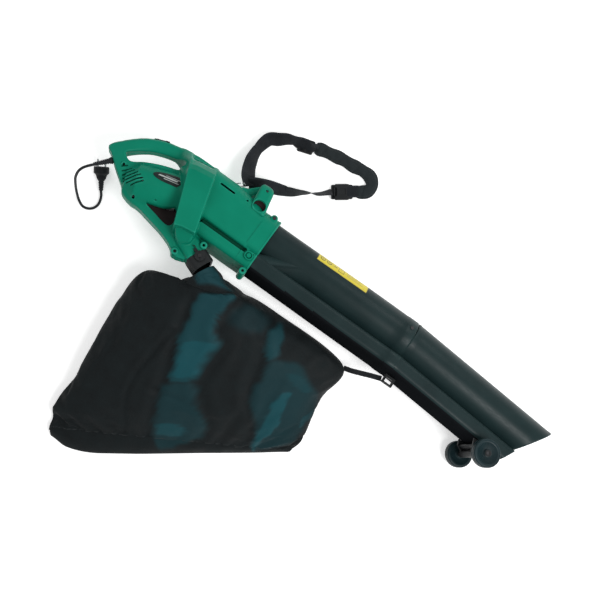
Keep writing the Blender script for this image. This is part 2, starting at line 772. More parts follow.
def make_cord():
    line = on_floor(catmull(CORD, 6))
    curve = bpy.data.curves.new("power_cord_flex", "CURVE")
    curve.dimensions = "3D"
    curve.bevel_depth = CORD_D / 2 * MM
    curve.bevel_resolution = 6
    curve.use_fill_caps = True
    spline = curve.splines.new("POLY")
    spline.points.add(len(line) - 1)
    for point, p in zip(spline.points, line):
        point.co = (*p, 1)
    flex = bpy.data.objects.new("power_cord_flex", curve)
    bpy.context.scene.collection.objects.link(flex)
    curve.materials.append(MATS["cord_rubber"])
    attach(flex, "machine")
    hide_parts("power_cord")

    end = np.array(CORD[-1], float)
    yaw, dip = math.radians(121), math.radians(-11.5)
    x_axis = np.array([math.cos(dip) * math.cos(yaw), math.cos(dip) * math.sin(yaw), -math.sin(dip)])
    y_axis = np.array([-math.sin(yaw), math.cos(yaw), 0])
    z_axis = np.cross(x_axis, y_axis)

    def plug_place(p):
        return on_floor(end + p[..., :1] * x_axis + p[..., 1:2] * y_axis + p[..., 2:] * z_axis)

    profile = [(0, 3.35), (0.5, 4.2), (2, 4.6)]
    for i in range(5):
        s, grow = 3 + i * 4.2, i * 0.35
        profile += [(s, 5.6 + grow), (s + 2.4, 5.9 + grow), (s + 2.9, 4.5 + grow), (s + 3.7, 4.5 + grow)]
    profile += [(25, 7.4), (28, 9.2), (31, 11.0), (35, 12.0), (38, 12.6), (40.5, 14.2), (43, 17.4),
                (44.2, 18.6), (46, 19.0), (57.5, 19.0), (59.2, 18.4), (60, 17.4), (60, 14.5), (59.2, 14),
                (59.2, 3), (59.2, 0.4)]

    def plug_shape(p, s, r, angle):
        if 25 <= s <= 45 and r > 5:
            squeeze = 1 - 0.10 * math.sin((s - 25) / 20 * math.pi)
            p[:, 2] *= squeeze
        if 45 < s < 58.5:
            notch = np.exp(-((np.abs(np.sin(angle)) - 1) / 0.02) ** 2)
            p[:, 1:] *= (1 - 0.13 * notch)[:, None]
        if 30 < s < 42:
            p[:, 1:] *= (1 + 0.03 * np.cos(24 * angle))[:, None]
        return p

    plug = lathe("plug_moulding", profile, 96, plug_place, "cord_rubber", shape=plug_shape)
    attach(plug, "machine")
    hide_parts("plug_body")

    exit_at = np.array([-405.0, 0, -62.0])
    turn = math.radians(218.5)
    out = np.array([math.sin(turn), 0, math.cos(turn)])
    side = np.array([math.cos(turn), 0, -math.sin(turn)])
    profile = [(-8, 3.35), (-8, 8), (-3, 8), (-3, 6.6), (2, 6.6), (2.2, 8.3), (4.8, 8.4), (6, 7.2)]
    for i in range(8):
        s = 7 + i * 4.7
        r = 7.0 - 0.27 * i
        profile += [(s, r), (s + 2.6, r - 0.1), (s + 3.1, r - 1.5), (s + 4.2, r - 1.55)]
    profile += [(45.2, 4.7), (46, 4.3), (46, 3.35), (-8, 3.35)]

    def relief_place(p):
        return lay(exit_at + p[..., :1] * out + p[..., 1:2] * side + p[..., 2:] * np.array([0, 1.0, 0]))

    relief = lathe("strain_relief_sleeve", profile, 48, relief_place, "cord_rubber")
    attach(relief, "machine")
    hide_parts("strain_relief")


make_cord()

# ---------- green housing ----------

# Outlines in the machine's own plane: x along the tube, z up.
SPINE = [[-347, -106], [-366, -92], [-391, -74], [-414, -55], [-433, -45], [-427, -26],
         [-408, -1], [-381, 26], [-357, 41], [-331, 53], [-289, 63], [-239, 67], [-191, 66],
         [-127, 62], [-110, 60], [-110, -100], [-125, -160], [-158, -172], [-180, -153],
         [-213, -141], [-251, -133], [-288, -125], [-331, -122]]
HAND_HOLE = [[-385, -25], [-390, -32], [-383, -39], [-374, -43], [-366, -42], [-342, -24],
             [-311, -7], [-284, 3], [-263, 10], [-257, 16], [-261, 24], [-273, 28], [-293, 27],
             [-317, 20], [-345, 8], [-368, -9]]
POCKET = [[-283, -107], [-266, -101], [-246, -95], [-228, -84], [-216, -75], [-209, -87], [-201, -109],
          [-208, -120], [-225, -119], [-253, -112]]
# Screw and rivet holes: x, z, depth of the face, radius.
DOTS = [[-376, -60, 10, 3.0], [-309, -115, 8, 3.3], [-263, -94, 34, 3.3], [-220, -84, 30, 3.3],
        [-160, -160, 6, 3.6], [-113, -114, 24, 3.2], [-93, 32, 40, 2.6], [-18, 38, 36, 2.6],
        [-7, -111, 30, 3.2], [-9, -69, 42, 2.4], [-31, -66, 42, 2.6], [-331, 50, 6, 2.0], [-381, 20, 6, 2.0]]
# Vent slots: both ends of each.
VENTS = [[-377, -66, -368, -58], [-369, -75, -354, -60], [-362, -83, -344, -62], [-355, -90, -334, -65],
         [-349, -95, -325, -67], [-341, -98, -316, -71], [-328, -98, -311, -76]]


def throat_distance(x, y, z):
    """The passage from the fan to the collar, lower towards the collar."""
    top = np.clip(62 - 0.16 * (x + 130), 47.5, 62)
    half = np.clip(61 - 0.04 * (x + 150), 56, 61)
    return round_box(y, z, half, -66, top, 44, 12)


def tube_distance(y, z, r, half, low):
    """Section of the double tube: a round tube with a flat duct under it."""
    circle = np.hypot(y, z + TUBE_DROP) - r
    duct = round_box(y, z, half, low, -56, 11, 12)
    return melt(circle, duct, 5.0)


BOSSES = [[-18, 38, -47, 47, 8.5, 3], [-7, -111, -45, 14, 8.5, 4], [-376, -60, -21, 18, 6, 2],
          [-113, -114, -40, 34, 8.5, 3], [-160, -160, -21, 18, 9, 2]]


def fan_points(points):
    """Both sides' points of a list of (along, across, up) in the fan's frame."""
    return [tuple(from_fan(np.array([a, s * b, c]))) for a, b, c in points for s in (-1, 1)]


def casing_hull(x, y, z):
    """The faceted cover between the motor and the raised band."""
    rear = [(-292, 17.0, 36), (-292, 17.0, 61), (-262, 30.0, 34), (-262, 30.0, 62), (-246, 34.0, 8)]
    rear = [(a, s * b, h) for s in (-1, 1) for a, b, h in rear]
    front = [(-27.0, 0, 91), (-27, 30, 86), (-27, 55, 73), (-27, 72, 57), (-27, 81, 41), (-27, 83, 22),
             (-27, 80, -12)]
    return hull_distance(rear + fan_points(front), x, y, z, 7.0).astype(np.float32)


def band_shape(ay, fx, fz):
    """The raised band across the fan chamber."""
    high = fz + 0.24 * np.clip(fx + 12, 0, 50)
    edge = [(-1, 92), (30, 87), (55, 74), (72, 58), (81, 42), (84, 26), (84, -97), (-1, -97)]
    section = polygon_distance(edge, ay, high)
    section = np.where(ay < 30, np.maximum(high - 91, -97 - high) + 0 * ay, section)
    slab = np.maximum(fx - 29.5 - 0.09 * fz, -fx - 31)
    return thick(section.astype(np.float32), slab, 0.0, 2.2)


def lower_lobe(x, y, z):
    """The discharge side of the fan chamber, down to the bag outlet."""
    lobe = fan_points([(-27, 70, -60), (24, 70, -60), (-27, 66, -97), (22, 66, -99), (-20, 50, -116),
                       (14, 50, -118)])
    lobe += [tuple(from_outlet(np.array([-8.0, s * 33, h]))) for s in (-1, 1) for h in (-33, 15)]
    return hull_distance(lobe, x, y, z, 5.0).astype(np.float32)


def add_collar(body, x, y, z):
    """The collar and lip where the tubes plug in."""
    ring = np.minimum(round_box(y, z, 58.5, -64, 50.6, 54, 16), round_box(y, z, 53.6, -100.6, -58, 12, 14))
    collar = thick(ring.astype(np.float32), np.abs(x + 18), 19.5, 1.6)
    lip = thick((ring - 1.2).astype(np.float32), np.abs(x + 1.2), 1.6, 0.9)
    return np.minimum(body, np.minimum(collar, lip))


def add_bosses(body, x, y, z):
    for bx, bz, near, far, r, k in BOSSES:
        reach = np.abs(y - (near + far) / 2)
        boss = thick(np.hypot(x - bx, z - bz) - r, reach, (far - near) / 2, 1.2)
        body = add(body, boss, k)
    return body


def housing_field(x, y, z):
    ay = np.abs(y)
    fx, fz = into_y(x, z, -TILT, FAN)
    ox, oz = into_y(x, z, TILT, OUTLET)
    fx, fz, ox, oz = (a.astype(np.float32) for a in (fx, fz, ox, oz))
    x, y, z, ay = (a.astype(np.float32) for a in (x, y, z, ay))

    outline = polygon_distance(smooth_outline(SPINE, 1), x, z)
    hole = polygon_distance(smooth_outline(HAND_HOLE, 2), x, z)
    flat = -melt(-outline, hole, 2.0)
    grip = np.clip((z - 0.42 * (x + 330)) / 22, 0, 1) * np.clip((-250 - x) / 40, 0, 1)
    body = thick(flat.astype(np.float32), ay, 18.0, (5.0 + 9.5 * grip).astype(np.float32))

    rho = np.sqrt(ay ** 2 + fz ** 2)
    case = polygon_distance([[-160, -20], [-160, 28], [-136, 46], [0, 46], [0, -20]], fx, rho) - 6.0
    body = add(body, case, 9.0)
    body = melt(body, casing_hull(x, y, z), 8.0)
    body = melt(body, lower_lobe(x, y, z), 6.0)
    tube = thick(throat_distance(x, y, z).astype(np.float32), np.maximum(x + 34, -200 - x), 0.0, 1.0)
    body = melt(body, tube, 7.0)
    duct = np.maximum(round_box(y, z, 52, -101, -60, 12, 13), np.maximum(x + 34, -150 - x)).astype(np.float32)
    body = melt(body, duct, 3.0)
    soft = 1.2 + 9 * np.clip(-fx / 29, 0, 1) * np.clip((fz - 10) / 40, 0, 1)
    soft = soft + 9 * np.clip((fz - 60) / 22, 0, 1)
    body = melt(body, band_shape(ay, fx, fz), soft.astype(np.float32))
    body = add_bosses(add_collar(body, x, y, z), x, y, z)
    outlet = thick(round_box(y, oz, 33, -34, 16, 11, 11), np.abs(ox - 8), 22, 1.5)
    body = add(body, outlet, 4.0)

    body = cut(body, hole.astype(np.float32) + 0.3, 3.0)
    pocket = thick(polygon_distance(smooth_outline(POCKET, 1), x, z), -ay, -11.0, 2.0)
    body = remove(body, pocket, 2.0)
    groove = thick(round_box(x + 90, z, 64, -75, -64, 4, 4), -ay, -40.0, 1.5)
    body = remove(body, groove, 1.5)
    return housing_openings(body, x, y, z, ox, oz)


def housing_openings(body, x, y, z, ox, oz):
    """The hollow shell, with its vents, screw holes, tube seat, bag outlet, switch seat and lead bore."""
    ay = np.abs(y)
    shell = cut(body, body + WALL)
    for a, b, c, d in VENTS:
        gap = np.maximum(segment_distance(x, z, (a, b), (c, d)) - 2.0, 8 - ay)
        shell = cut(shell, np.maximum(gap.astype(np.float32), -(body + 2.1)))
    slit = np.maximum(segment_distance(x, z, (-164, 26), (-128, 26)) - 2.4, 36 + y)
    shell = remove(shell, slit)
    for a, c, deep, r in DOTS:
        drill = np.maximum(np.hypot(x - a, z - c) - r, y + deep)
        shell = remove(shell, drill)
    knob = np.maximum(np.hypot(x + 15, z + 78) - 3.4, y + 30)
    shell = remove(shell, knob)
    seat = np.maximum(tube_distance(y, z, 53.6, 50.6, -97.6), -22 - x)
    shell = remove(shell, seat)
    mouth = np.maximum(round_box(y, oz, 29.6, -30.6, 12.6, 8, 8), np.abs(ox - 10) - 40)
    shell = remove(shell, mouth)
    sx, sz = into_y(x, z, math.radians(-24.8), np.array([-344.0, 0, 47.0]))
    switch = np.maximum(np.maximum(np.abs(sx) - 17.2, ay - 9.2), -18 - sz)
    shell = remove(shell, switch)
    out_x, out_z = -0.6225, -0.7826
    off = out_x * (z + 62) - out_z * (x + 405)
    bore = np.maximum(np.sqrt(off ** 2 + ay ** 2) - 8.3, -(out_x * (x + 405) + out_z * (z + 62)) - 22)
    return remove(shell, bore)


def in_vent(m):
    far = np.min([segment_distance(m[:, 0], m[:, 2], v[:2], v[2:]) for v in VENTS], axis=0)
    return (far < 1.5) & (np.abs(m[:, 1]) > 8)


def in_groove(m):
    return (np.abs(m[:, 1]) < 43) & (np.abs(m[:, 2] + 69.5) < 6.5) & (np.abs(m[:, 0] + 91) < 62)


def in_pocket(m):
    return (polygon_distance(smooth_outline(POCKET, 1), m[:, 0], m[:, 2]) < 1.0) & (np.abs(m[:, 1]) < 16)


def make_housing():
    step = 1.6
    for side, name, node, low, high in (
            (-1, "housing_near_shell", "housing_near", (-446, -90, -184), (6, 4, 100)),
            (1, "housing_far_shell", "housing_far", (-446, -4, -184), (6, 90, 100))):
        x, y, z = grid(low, high, step)
        seam = -side * y + 0.05
        field = np.maximum(housing_field(x, y, z), seam.astype(np.float32))
        shell = solid(name, field, low, step, lay, "green_abs")
        edge_wear(shell, 0.5, 0.035)
        mark(shell, "green_shade", in_groove)
        mark(shell, "green_shade", in_vent)
        mark(shell, "dark_recess", in_pocket)
        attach(shell, "machine")
        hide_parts(node)


def in_hollow(m):
    """Faces of the hollow in the handle's near foot."""
    oval = ((m[:, 0] + 63) / 15) ** 2 + ((m[:, 2] - 38) / 13) ** 2 < 1
    return oval & (m[:, 1] > -56) & (m[:, 1] < -36)


def handle_loop(x, y, z):
    outer = round_box(y, z, 59, 20, 103.5, 38, 6)
    inner = round_box(y, z, 38, -12, 82, 22, 6)
    ring = -melt(-outer, inner, 4.0)
    lean = (80 - z) * 0.18
    wide = 19 + np.clip((60 - z) * 0.05, 0, 2)
    loop = thick(ring, np.abs(x + 70 - lean), wide, 9.5)
    face = [[-92, 10], [-92, 84], [-86, 96], [-72, 102], [-58, 98], [-49, 86], [-43, 60], [-37, 30],
            [-35, 10]]
    return -melt(-loop, -polygon_distance(smooth_outline(face, 1), x, z), 6.0)


def make_front_handle():
    step = 1.4
    low = (-134, -66, -4)
    x, y, z = grid(low, (-14, 66, 110), step)
    saddle = thick(round_box(y, z, 20, 40, 70, 9, 4), np.abs(x + 110), 17, 6.0)
    rise = smooth_outline([[-128, 52], [-115, 70], [-94, 93], [-72, 101], [-72, 88], [-104, 50]], 1)
    web = thick(polygon_distance(rise, x, z), np.abs(y), 19.0, 7.0)
    body = melt(melt(handle_loop(x, y, z), web, 12.0), saddle, 9.0)
    body = cut(body, throat_distance(x, y, z) - 0.1)
    hollow = np.sqrt(((x + 63) / 16) ** 2 + ((y + 60) / 18) ** 2 + ((z - 38) / 14) ** 2) * 14 - 14
    body = cut(body, hollow, 1.5)
    for side in (-1, 1):
        body = cut(body, np.maximum(np.hypot(x + 69, z - 80) - 3.2, 48 - side * y))
    lug = np.maximum(np.maximum(np.abs(y) - 5, np.abs(x + 140) - 14), 60 - z)
    body = cut(body, lug)
    handle = solid("front_handle_loop", body, low, step, lay, "green_abs")
    edge_wear(handle, 0.5, 0.035)
    mark(handle, "dark_recess", in_hollow)
    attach(handle, "machine")
    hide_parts("front_handle")


def unlay(p):
    """Row metres back to machine-frame millimetres."""
    q = np.asarray(p, float) / MM - PLACE
    c, s = math.cos(PITCH), math.sin(PITCH)
    x = c * q[:, 0] - s * q[:, 2]
    z = s * q[:, 0] + c * q[:, 2]
    y = q[:, 1]
    return np.stack([x, -math.sin(ROLL) * y - math.cos(ROLL) * z, math.cos(ROLL) * y - math.sin(ROLL) * z], 1)


def mark(obj, material, test):
    """Faces inside a recess get a finish of their own."""
    mesh = obj.data
    centre = np.zeros(len(mesh.polygons) * 3, np.float32)
    mesh.polygons.foreach_get("center", centre)
    index = np.zeros(len(mesh.polygons), np.int32)
    mesh.polygons.foreach_get("material_index", index)
    mesh.materials.append(MATS[material])
    index[test(unlay(centre.reshape(-1, 3)))] = len(mesh.materials) - 1
    mesh.polygons.foreach_set("material_index", index)


# ---------- double tube ----------

def tube_outline(r, half, low):
    """Points of the double tube's outline, found along rays from between the two tubes."""
    rays = TUBE_POINTS * 4
    angle = np.arange(rays) * 2 * math.pi / rays
    reach = np.arange(0.5, 130, 0.5)
    y = reach[:, None] * np.cos(angle)
    z = TUBE_MIDDLE + reach[:, None] * np.sin(angle)
    out = tube_distance(y, z, r, half, low) > 0
    first = reach[out.argmax(0)]
    near, far = first - 0.5, first
    for _ in range(12):
        mid = (near + far) / 2
        d = tube_distance(mid * np.cos(angle), TUBE_MIDDLE + mid * np.sin(angle), r, half, low)
        near, far = np.where(d < 0, mid, near), np.where(d < 0, far, mid)
    p = np.stack([near * np.cos(angle), TUBE_MIDDLE + near * np.sin(angle)], 1)
    loop = np.vstack([p, p[:1]])
    run = np.concatenate([[0], np.cumsum(np.linalg.norm(np.diff(loop, axis=0), axis=1))])
    even = np.linspace(0, run[-1], TUBE_POINTS, endpoint=False)
    return np.stack([np.interp(even, run, loop[:, 0]), np.interp(even, run, loop[:, 1])], 1)


def make_tubes():
    def ring(x, r, half, low):
        o = tube_outline(r, half, low)
        return np.stack([np.full(len(o), float(x)), o[:, 0], o[:, 1]], 1)

    def swell(x):
        t = min(max(x / 320.0, 0), 1)
        return 50.0 + 3.6 * t * t * (3 - 2 * t)

    stations = [(-6, 0), (0, 0)] + [(x, 0) for x in range(20, 380, 20)]
    stations += [(382, 0), (383.5, 0.7), (392, 0.8), (409.6, 0.8), (410.8, 0.4), (411, -0.6)]
    rings = [ring(x, swell(x) + g, 47 + (swell(x) - 50) * 0.8 + g, -97 - g) for x, g in stations]
    inner = [ring(x, swell(x) - 2.6, 44.4 + (swell(x) - 50) * 0.8, -94.4) for x in (411, 300, 150, -6)]
    verts, faces = bridge(rings + inner, False, True)
    upper = mesh_object("upper_tube_wall", lay(verts), faces, "tube_plastic")
    outward(upper)
    edge_wear(upper, 0.5, 0.05, 1)
    mark(upper, "tube_under", lambda m: m[:, 2] < DUCT_UNDER)
    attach(upper, "machine")
    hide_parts("upper_tube")

    top, cut_slope = 423.0, math.tan(math.radians(30))

    def lower_ring(s, g):
        r, half, low = (53.6 + g, 50 + g, -97 - g)
        o = tube_outline(r, half, low)
        length = top + (o[:, 1] - 50) * cut_slope
        bow = 5.0 * np.sin(np.clip((o[:, 1] + 97) / 145, 0, 1) * math.pi)
        return np.stack([s * (length - bow) + (1 - s) * 0.4, o[:, 0], o[:, 1]], 1)

    shares = [0, 0.004, 0.012, 0.02] + list(np.linspace(0.05, 0.95, 24)) + [0.975, 0.985, 0.994, 1.0]
    grow = [-0.9, 0.5, 0.9, 0.0] + [0.0] * 24 + [0.0, 0.5, 0.5, -0.2]
    rings = [lower_ring(s, g) for s, g in zip(shares, grow)]
    inner = [lower_ring(s, -2.6) for s in (1.0, 0.97, 0.6, 0.3, 0.0)]
    verts, faces = bridge(rings + inner, False, True)
    lower = mesh_object("lower_tube_wall", lay(from_lower(verts)), faces, "tube_plastic")
    outward(lower)
    edge_wear(lower, 0.5, 0.05, 1)
    mark(lower, "tube_under", lambda m: into_y(m[:, 0], m[:, 2], BEND, LOWER_START)[1] < DUCT_UNDER)
    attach(lower, "machine")
    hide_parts("lower_tube")


def film(name, outer, inner, nx, ny, material):
    """A thin closed skin between two grids of nx by ny points."""
    n = nx * ny
    faces = []
    for i in range(nx - 1):
        for j in range(ny - 1):
            a = i * ny + j
            faces.append((a, a + ny, a + ny + 1, a + 1))
            faces.append((n + a, n + a + 1, n + a + ny + 1, n + a + ny))
    rim = [i * ny for i in range(nx)] + [(nx - 1) * ny + j for j in range(1, ny)]
    rim += [i * ny + ny - 1 for i in range(nx - 2, -1, -1)] + list(range(ny - 2, 0, -1))
    faces += [(a, n + a, n + b, b) for a, b in zip(rim, rim[1:] + rim[:1])]
    verts = np.concatenate([outer.reshape(-1, 3), inner.reshape(-1, 3)])
    obj = mesh_object(name, lay(verts), faces, material)
    outward(obj)
    return obj


def label_colours(u, v, length, height):
    """Yellow with a border, neutral dots, a frame and bars."""
    colour = np.tile([0.60, 0.50, 0.045], (len(u), 1))
    ink = np.array([0.10, 0.09, 0.03])
    soft = np.array([0.38, 0.31, 0.07])
    colour[np.minimum(np.minimum(u, length - u), np.minimum(v, height - v)) < 1.1] = soft
    for centre in (13, 31):
        d = np.hypot(u - centre, v - 14)
        colour[(d < 7.0) & (d > 5.2)] = ink
        colour[d < 3.0] = soft
    colour[(np.abs(u - 49) < 4.5) & (np.abs(v - 14) < 1.4)] = ink
    frame_box = np.maximum(np.abs(u - 66) - 8, np.abs(v - 13) - 7)
    colour[(frame_box < 0) & (frame_box > -1.4)] = ink
    for start, end, row in ((82, 132, 19), (82, 120, 14), (82, 128, 9)):
        colour[(u > start) & (u < end) & (np.abs(v - row) < 0.9)] = soft
    return colour


def make_label():
    """A plain yellow strip with neutral bars and dots, wrapped on the tube."""
    nx, na = 285, 60
    start, length, height = 118, 142, 26
    xs = np.linspace(start, start + length, nx)
    top, low = math.asin((42.5 + TUBE_DROP) / 54.0), math.asin((19 + TUBE_DROP) / 54.0)
    angle = np.linspace(low, top, na)

    def skin(r):
        a, b = np.meshgrid(xs, angle, indexing="ij")
        grow = np.clip(a / 320, 0, 1)
        radius = 50.0 + 3.6 * grow ** 2 * (3 - 2 * grow) + r
        return np.stack([a, -radius * np.cos(b), -TUBE_DROP + radius * np.sin(b)], -1)

    label = film("caution_strip", skin(0.55), skin(0.05), nx, na, "film_yellow")
    colour = label_colours(np.repeat(xs - start, na), np.tile(np.linspace(0, height, na), nx), length, height)
    set_print(label, np.concatenate([colour, colour]))
    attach(label, "machine")
    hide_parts("caution_label")


def make_badge():
    """A plain dark half-oval badge with three silver lines, wrapped on the motor casing."""
    nu, nv = 110, 60
    slant = math.radians(-20)
    length, half, nose = 72.0, 16.5, 0.62
    lines = []
    for s in np.linspace(0, 1, nu):
        width = half * math.sqrt(max(1 - (1 - min(s / nose, 1)) ** 2, 0.0)) if s < nose else half
        lines.append(np.stack([np.full(nv, s * length), np.linspace(-1, 1, nv) * max(width, 0.4)], 1))
    lu, lv = np.concatenate(lines).T
    c, s = math.cos(slant), math.sin(slant)
    mx = -303 + c * lu - s * lv
    mz = -43 - s * lu * 0.62 + c * lv
    fz = into_y(mx, mz, -TILT, FAN)[1]

    def skin(g):
        y = -np.sqrt(np.maximum((52.0 + g) ** 2 - fz ** 2, 100))
        return np.stack([mx, y, mz], 1)

    badge = film("side_badge_plate", skin(0.9), skin(-0.6), nu, nv, "badge_black")
    colour = np.tile([0.012, 0.02, 0.019], (nu * nv, 1))
    silver = np.array([0.42, 0.45, 0.44])
    for row, start, end, w in ((5.5, 26, 66, 0.8), (0.0, 12, 60, 2.2), (-6.5, 30, 68, 1.0)):
        colour[(np.abs(lv - row) < w) & (lu > start) & (lu < end)] = silver
    set_print(badge, np.concatenate([colour, colour]))
    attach(badge, "machine")
    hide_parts("side_badge")


def wheel_shape(p, s, r, angle):
    """Flutes on the web of the wheel, and fine teeth on its rim."""
    if 12 < r < 24:
        p[:, 0] += np.sign(s) * 0.55 * np.cos(36 * angle)
    if 26 < r < 31 and abs(s) > 9.5:
        p[:, 0] -= np.sign(s) * 0.35 * (np.cos(72 * angle) > 0)
    return p


def make_wheels():
    half = 10.5
    face = [(0, 4.3), (0, 8.6), (0.6, 9.2), (3.6, 9.6), (3.8, 11), (2.6, 13), (2.0, 23.6), (0.5, 24.6),
            (0, 25.6), (0, 30.0), (0.7, 31.6), (2.4, 32.9)]
    face = [(deep - half, r) for deep, r in face]
    tread = [(-5.2, 33), (-4.6, 32.2), (-3.6, 32.2), (-3.0, 33), (3.0, 33), (3.6, 32.2), (4.6, 32.2),
             (5.2, 33)]
    profile = face + tread + [(-a, r) for a, r in face[::-1]] + [face[0]]
    for side, node, body in ((-1, "wheel_near", "near_wheel"), (1, "wheel_far", "far_wheel")):
        def place(p, side=side):
            q = np.stack([p[..., 1], p[..., 0], p[..., 2]], -1)
            return lay(q + AXLE + [0, side * WHEEL_GAP, 0])

        wheel = lathe(node + "_moulding", profile, 216, place, "wheel_plastic", shape=wheel_shape)
        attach(wheel, body)
        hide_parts(node)


# ---------- straps ----------

def across(line):
    """Level directions square to a line."""
    t = unit(np.gradient(line, axis=0))
    return unit(np.stack([-t[:, 1], t[:, 0], 0 * t[:, 0]], 1))


def twist(line, share, seen, full=WEB_WIDTH):
    """Turn a strap about its length so that it looks as wide from above as stated."""
    width = np.interp(np.linspace(0, 1, len(line)), share, seen)
    width = np.convolve(np.pad(width, 3, mode="edge"), np.ones(7) / 7, mode="valid")
    angle = np.arccos(np.clip(width / full, -1, 1))[:, None]
    sides = np.cos(angle) * across(line) + np.sin(angle) * np.array([0, 0, 1.0])
    line = line.copy()
    line[:, 2] = np.maximum(line[:, 2], full / 2 * np.sin(angle[:, 0]) + 1.6)
    return line, unit(sides)


WEB_UPPER = [[-116, 84, 64], [-127, 94, 64], [-138, 106, 58], [-149, 126, 44], [-157, 151, 29],
             [-160, 174, 15], [-158, 194, 8], [-151, 212, 4], [-134, 224, 3], [-114, 238, 3], [-92, 246, 6],
             [-72, 251, 9.4], [-54, 257, 9], [-38, 264, 7]]
UPPER_SEEN = [[0, 32], [0.11, 33], [0.27, 28], [0.38, 20], [0.5, 29], [0.62, 30], [0.70, 22], [0.75, 13],
              [0.79, 27], [0.90, 27], [0.95, 12], [1, 13]]
WEB_LOWER = [[-122, 86, 62], [-110, 95, 60], [-94, 104, 52], [-76, 113, 38], [-54, 123, 22], [-32, 134, 10],
             [-12, 146, 5], [10, 160, 4], [30, 172, 4], [52, 194, 5]]
LOWER_SEEN = [[0, 30], [0.15, 28], [0.3, 27], [0.45, 24], [0.6, 16], [0.68, 9], [0.74, 5], [0.82, -10],
              [0.92, -16], [1, -22]]
WEB_SHORT = [[106, 236, 7], [97, 229, 9.5], [88, 222, 10.5], [78, 215, 10]]
HOOK_TAPE = [[330, -146, 34], [348, -140, 48], [368, -131, 64], [390, -121, 80], [412, -112, 95]]
PAD_LINE = [[-46, 262, 6], [-26, 268, 6], [0, 273, 6], [28, 278, 6], [56, 280, 6], [84, 284, 6],
            [108, 282, 6], [124, 268, 6], [124, 250, 6], [112, 238, 6], [98, 230, 6]]
PAD_ROW = 0.74                               # stitched rows, as a share of the half width


def make_webbing():
    line, sides = twist(catmull(WEB_UPPER, 10), *zip(*UPPER_SEEN))
    up = ribbon("shoulder_web_upper", line, WEB_WIDTH, 2.0, sides, "webbing", wave=1.0)
    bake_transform(up)
    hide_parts("strap_web_upper")

    line, sides = twist(catmull(WEB_LOWER, 10), *zip(*LOWER_SEEN))
    down = ribbon("shoulder_web_lower", line, WEB_WIDTH, 2.0, sides, "webbing", wave=0.6, seed=1.0)
    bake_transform(down)
    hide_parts("strap_web_lower")

    line = catmull(WEB_SHORT, 8)
    link = ribbon("shoulder_web_short", line, 30, 2.0, across(line), "webbing", wave=0.4)
    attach(link, "machine")

    line = catmull(HOOK_TAPE, 8)
    tape = ribbon("bag_hook_tape", line, 13, 1.6, across(line), "hook_tape", stitch_inset=1.6)
    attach(tape, "machine")
    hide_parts("bag_strap")


def make_pad():
    """The crowned shoulder pad, with two sewn channels and the creases of use."""
    line = catmull(PAD_LINE, 10)
    side = across(line)
    run = np.concatenate([[0], np.cumsum(np.linalg.norm(np.diff(line, axis=0), axis=1))])
    u = np.linspace(-1, 1, 21)
    rings, marks = [], []
    for i, p in enumerate(line):
        end = min(run[i], run[-1] - run[i]) / 10
        half = 16.5 * min(1, 0.72 + 0.28 * math.sqrt(min(end, 1))) + 1.1 * math.sin(run[i] * 0.13)
        crown = 4.6 * (1 - np.abs(u) ** 3.0) * min(1, 0.35 + 0.65 * min(end, 1))
        channel = 1.5 * np.exp(-((np.abs(u) - PAD_ROW) / 0.07) ** 2)
        pucker = 0.5 * np.sin(run[i] * 0.55) * (np.abs(u) > 0.7) + 0.5 * np.sin(run[i] * 0.21 + 3 * u)
        pucker = pucker - 1.6 * np.exp(-((run[i] % 47 - 23 - 6 * u) / 3.0) ** 2)
        spread = p + side[i] * (half * u)[:, None]
        top = spread + np.outer(np.maximum(crown - channel, 0.5) + pucker, [0, 0, 1])
        bottom = spread - np.outer(np.maximum(crown * 0.8, 0.7), [0, 0, 1])
        rings.append(np.vstack([top, bottom[::-1][1:-1]]))
        row = (np.abs(np.abs(u) - PAD_ROW) < 0.06) * (math.sin(run[i] * 1.5) > -0.3) * 0.6
        marks.append(np.concatenate([row, 0 * u[1:-1]]))
    verts, faces = bridge(rings)
    pad = mesh_object("shoulder_pad_cover", on_floor(verts), faces, "pad_cloth")
    outward(pad)
    set_attribute(pad, "stitch", np.concatenate(marks))
    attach(pad, "machine")
    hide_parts("shoulder_pad")


def flat_place(cx, cy, turn):
    """A placing that lays a piece flat on the floor at (cx, cy), turned by degrees."""
    c, s = math.cos(math.radians(turn)), math.sin(math.radians(turn))

    def place(p):
        return on_floor(np.stack([cx + c * p[..., 0] - s * p[..., 1], cy + s * p[..., 0] + c * p[..., 1],
                                  p[..., 2] + 0.2], -1))
    return place


def make_slider():
    step = 0.7
    low = (-24, -27, -1)
    x, y, z = grid(low, (24, 27, 9), step)
    plate = thick(round_box(x, y, 20, -17.5, 17.5, 4, 4), np.abs(z - 3.6), 3.4, 1.2)
    for centre in (-9, 9):
        plate = cut(plate, round_box(x - centre, y, 4, -13, 13, 2, 2) + 0 * z, 1.0)
    for k in range(-3, 4):
        plate = cut(plate, np.maximum(np.hypot(y - 5 * k, z - 7.6) - 1.1, np.abs(x) - 4.2))
    plate = melt(plate, thick(round_box(x, y, 2.4, -16, 16, 1, 1), np.abs(z - 5.2), 2.3, 1.0), 1.0)
    slider = solid("strap_slider_moulding", plate, low, step, flat_place(-68, 252, 18), "black_plastic")
    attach(slider, "machine")
    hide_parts("strap_slider")


